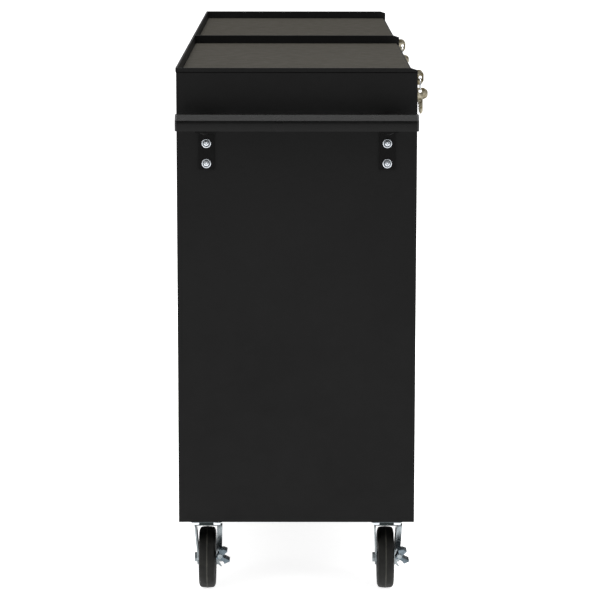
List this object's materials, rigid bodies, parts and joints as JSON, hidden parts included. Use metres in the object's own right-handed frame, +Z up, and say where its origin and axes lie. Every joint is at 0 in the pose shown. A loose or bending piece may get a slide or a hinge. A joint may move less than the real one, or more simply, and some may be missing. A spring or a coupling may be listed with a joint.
{
  "type": "rolling tool chest",
  "caption": "Rolling tool chest of two joined drawer cabinets with lipped top trays, an end push handle, keyed locks and braked swivel casters.",
  "frame": {"origin": "on the floor under the centre of the whole object's outline, handle and hanging keys included", "axes": "+X along the chest towards the end without the handle, -Y out of the drawer fronts, +Z up"},
  "size_m": [1.3048, 0.361, 0.75],
  "materials": {
    "powder_coat": "satin black powder coat with a fine texture",
    "mat": "matte warm grey foam mat",
    "zinc": "bright zinc plate",
    "alloy": "satin anodised",
    "rubber": "matte black solid rubber",
    "plastic": "matte black",
    "key_metal": "worn nickel plate"
  },
  "bodies": {
    "cabinet": {"body_shell_left": "powder_coat", "body_shell_right": "powder_coat", "bottom_pan_left": "powder_coat", "bottom_pan_right": "powder_coat", "top_tray_left": "powder_coat", "top_tray_right": "powder_coat", "tray_mat_left": "mat", "tray_mat_right": "mat", "slide_rails_left": "zinc", "slide_rails_right": "zinc", "lock_housings": "zinc", "handle_bar": "powder_coat", "handle_end_caps": "plastic", "handle_brackets": "powder_coat", "handle_screws": "zinc", "caster_plates": "zinc", "rigid_casters": "zinc", "hex_bolts": "zinc"},
    "drawer_left_1": {"drawer_left_1": "powder_coat", "drawer_pull_left_1": "alloy"},
    "drawer_left_2": {"drawer_left_2": "powder_coat", "drawer_pull_left_2": "alloy"},
    "drawer_left_3": {"drawer_left_3": "powder_coat", "drawer_pull_left_3": "alloy"},
    "drawer_left_4": {"drawer_left_4": "powder_coat", "drawer_pull_left_4": "alloy"},
    "drawer_left_5": {"drawer_left_5": "powder_coat", "drawer_pull_left_5": "alloy"},
    "drawer_right_1": {"drawer_right_1": "powder_coat", "drawer_pull_right_1": "alloy"},
    "drawer_right_2": {"drawer_right_2": "powder_coat", "drawer_pull_right_2": "alloy"},
    "drawer_right_3": {"drawer_right_3": "powder_coat", "drawer_pull_right_3": "alloy"},
    "drawer_right_4": {"drawer_right_4": "powder_coat", "drawer_pull_right_4": "alloy"},
    "drawer_right_5": {"drawer_right_5": "powder_coat", "drawer_pull_right_5": "alloy"},
    "swivel_fork_left_front": {"swivel_fork_left_front": "zinc"},
    "brake_pedal_left_front": {"brake_pedal_left_front": "zinc"},
    "swivel_wheel_left_front": {"swivel_wheel_left_front": "rubber"},
    "rigid_wheel_left_front": {"rigid_wheel_left_front": "rubber"},
    "swivel_fork_left_back": {"swivel_fork_left_back": "zinc"},
    "brake_pedal_left_back": {"brake_pedal_left_back": "zinc"},
    "swivel_wheel_left_back": {"swivel_wheel_left_back": "rubber"},
    "rigid_wheel_left_back": {"rigid_wheel_left_back": "rubber"},
    "swivel_fork_right_front": {"swivel_fork_right_front": "zinc"},
    "brake_pedal_right_front": {"brake_pedal_right_front": "zinc"},
    "swivel_wheel_right_front": {"swivel_wheel_right_front": "rubber"},
    "rigid_wheel_right_front": {"rigid_wheel_right_front": "rubber"},
    "swivel_fork_right_back": {"swivel_fork_right_back": "zinc"},
    "brake_pedal_right_back": {"brake_pedal_right_back": "zinc"},
    "swivel_wheel_right_back": {"swivel_wheel_right_back": "rubber"},
    "rigid_wheel_right_back": {"rigid_wheel_right_back": "rubber"},
    "lock_plug_left": {"lock_plug_left": "key_metal"},
    "spare_key_left": {"spare_key_left": "key_metal"},
    "lock_bar_left": {"lock_bar_left": "zinc"},
    "lock_plug_right": {"lock_plug_right": "key_metal"},
    "spare_key_right": {"spare_key_right": "key_metal"},
    "lock_bar_right": {"lock_bar_right": "zinc"}
  },
  "joints": [
    {"name": "slide_left_1", "type": "slide", "parent": "cabinet", "child": "drawer_left_1", "axis": [0, -1, 0], "range_m": [0, 0.24]},
    {"name": "slide_left_2", "type": "slide", "parent": "cabinet", "child": "drawer_left_2", "axis": [0, -1, 0], "range_m": [0, 0.24]},
    {"name": "slide_left_3", "type": "slide", "parent": "cabinet", "child": "drawer_left_3", "axis": [0, -1, 0], "range_m": [0, 0.24]},
    {"name": "slide_left_4", "type": "slide", "parent": "cabinet", "child": "drawer_left_4", "axis": [0, -1, 0], "range_m": [0, 0.24]},
    {"name": "slide_left_5", "type": "slide", "parent": "cabinet", "child": "drawer_left_5", "axis": [0, -1, 0], "range_m": [0, 0.24]},
    {"name": "slide_right_1", "type": "slide", "parent": "cabinet", "child": "drawer_right_1", "axis": [0, -1, 0], "range_m": [0, 0.24]},
    {"name": "slide_right_2", "type": "slide", "parent": "cabinet", "child": "drawer_right_2", "axis": [0, -1, 0], "range_m": [0, 0.24]},
    {"name": "slide_right_3", "type": "slide", "parent": "cabinet", "child": "drawer_right_3", "axis": [0, -1, 0], "range_m": [0, 0.24]},
    {"name": "slide_right_4", "type": "slide", "parent": "cabinet", "child": "drawer_right_4", "axis": [0, -1, 0], "range_m": [0, 0.24]},
    {"name": "slide_right_5", "type": "slide", "parent": "cabinet", "child": "drawer_right_5", "axis": [0, -1, 0], "range_m": [0, 0.24]},
    {"name": "swivel_left_front", "type": "hinge", "parent": "cabinet", "child": "swivel_fork_left_front", "pos_m": [-0.55243, -0.1123, 0.103], "axis": [0, 0, 1], "continuous": true},
    {"name": "swivel_left_back", "type": "hinge", "parent": "cabinet", "child": "swivel_fork_left_back", "pos_m": [-0.55243, 0.1417, 0.103], "axis": [0, 0, 1], "continuous": true},
    {"name": "swivel_right_front", "type": "hinge", "parent": "cabinet", "child": "swivel_fork_right_front", "pos_m": [0.61357, -0.1123, 0.103], "axis": [0, 0, 1], "continuous": true},
    {"name": "swivel_right_back", "type": "hinge", "parent": "cabinet", "child": "swivel_fork_right_back", "pos_m": [0.61357, 0.1417, 0.103], "axis": [0, 0, 1], "continuous": true},
    {"name": "roll_swivel_left_front", "type": "hinge", "parent": "swivel_fork_left_front", "child": "swivel_wheel_left_front", "pos_m": [-0.52843, -0.1123, 0.044], "axis": [0, 1, 0], "continuous": true},
    {"name": "roll_swivel_left_back", "type": "hinge", "parent": "swivel_fork_left_back", "child": "swivel_wheel_left_back", "pos_m": [-0.52843, 0.1417, 0.044], "axis": [0, 1, 0], "continuous": true},
    {"name": "roll_swivel_right_front", "type": "hinge", "parent": "swivel_fork_right_front", "child": "swivel_wheel_right_front", "pos_m": [0.58957, -0.1123, 0.044], "axis": [0, 1, 0], "continuous": true},
    {"name": "roll_swivel_right_back", "type": "hinge", "parent": "swivel_fork_right_back", "child": "swivel_wheel_right_back", "pos_m": [0.58957, 0.1417, 0.044], "axis": [0, 1, 0], "continuous": true},
    {"name": "roll_rigid_left_front", "type": "hinge", "parent": "cabinet", "child": "rigid_wheel_left_front", "pos_m": [-0.02042, -0.1123, 0.044], "axis": [0, 1, 0], "continuous": true},
    {"name": "roll_rigid_left_back", "type": "hinge", "parent": "cabinet", "child": "rigid_wheel_left_back", "pos_m": [-0.02042, 0.1417, 0.044], "axis": [0, 1, 0], "continuous": true},
    {"name": "roll_rigid_right_front", "type": "hinge", "parent": "cabinet", "child": "rigid_wheel_right_front", "pos_m": [0.08157, -0.1123, 0.044], "axis": [0, 1, 0], "continuous": true},
    {"name": "roll_rigid_right_back", "type": "hinge", "parent": "cabinet", "child": "rigid_wheel_right_back", "pos_m": [0.08157, 0.1417, 0.044], "axis": [0, 1, 0], "continuous": true},
    {"name": "brake_left_front", "type": "hinge", "parent": "swivel_fork_left_front", "child": "brake_pedal_left_front", "pos_m": [-0.55243, -0.1313, 0.056], "axis": [1, 0, 0], "range_deg": [0, 25]},
    {"name": "brake_left_back", "type": "hinge", "parent": "swivel_fork_left_back", "child": "brake_pedal_left_back", "pos_m": [-0.55243, 0.1227, 0.056], "axis": [1, 0, 0], "range_deg": [0, 25]},
    {"name": "brake_right_front", "type": "hinge", "parent": "swivel_fork_right_front", "child": "brake_pedal_right_front", "pos_m": [0.61357, -0.0933, 0.056], "axis": [-1, 0, 0], "range_deg": [0, 25]},
    {"name": "brake_right_back", "type": "hinge", "parent": "swivel_fork_right_back", "child": "brake_pedal_right_back", "pos_m": [0.61357, 0.1607, 0.056], "axis": [-1, 0, 0], "range_deg": [0, 25]},
    {"name": "lock_left", "type": "hinge", "parent": "cabinet", "child": "lock_plug_left", "pos_m": [-0.28042, -0.1503, 0.71], "axis": [0, -1, 0], "range_deg": [0, 90]},
    {"name": "bar_lift_left", "type": "slide", "parent": "cabinet", "child": "lock_bar_left", "axis": [0, 0, 1], "range_m": [0, 0.00706]},
    {"name": "lock_right", "type": "hinge", "parent": "cabinet", "child": "lock_plug_right", "pos_m": [0.34158, -0.1503, 0.71], "axis": [0, -1, 0], "range_deg": [0, 90]},
    {"name": "bar_lift_right", "type": "slide", "parent": "cabinet", "child": "lock_bar_right", "axis": [0, 0, 1], "range_m": [0, 0.00706]},
    {"name": "key_swing_left", "type": "hinge", "parent": "lock_plug_left", "child": "spare_key_left", "pos_m": [-0.28042, -0.1693, 0.71], "axis": [1, 0, 0], "range_deg": [-75, 14]},
    {"name": "key_swing_right", "type": "hinge", "parent": "lock_plug_right", "child": "spare_key_right", "pos_m": [0.34158, -0.1693, 0.71], "axis": [1, 0, 0], "range_deg": [-75, 14]}
  ],
  "couplings": [
    {"joint": "lock_left", "follows": "bar_lift_left", "rad_per_m": 222.48},
    {"joint": "lock_right", "follows": "bar_lift_right", "rad_per_m": 222.48}
  ]
}
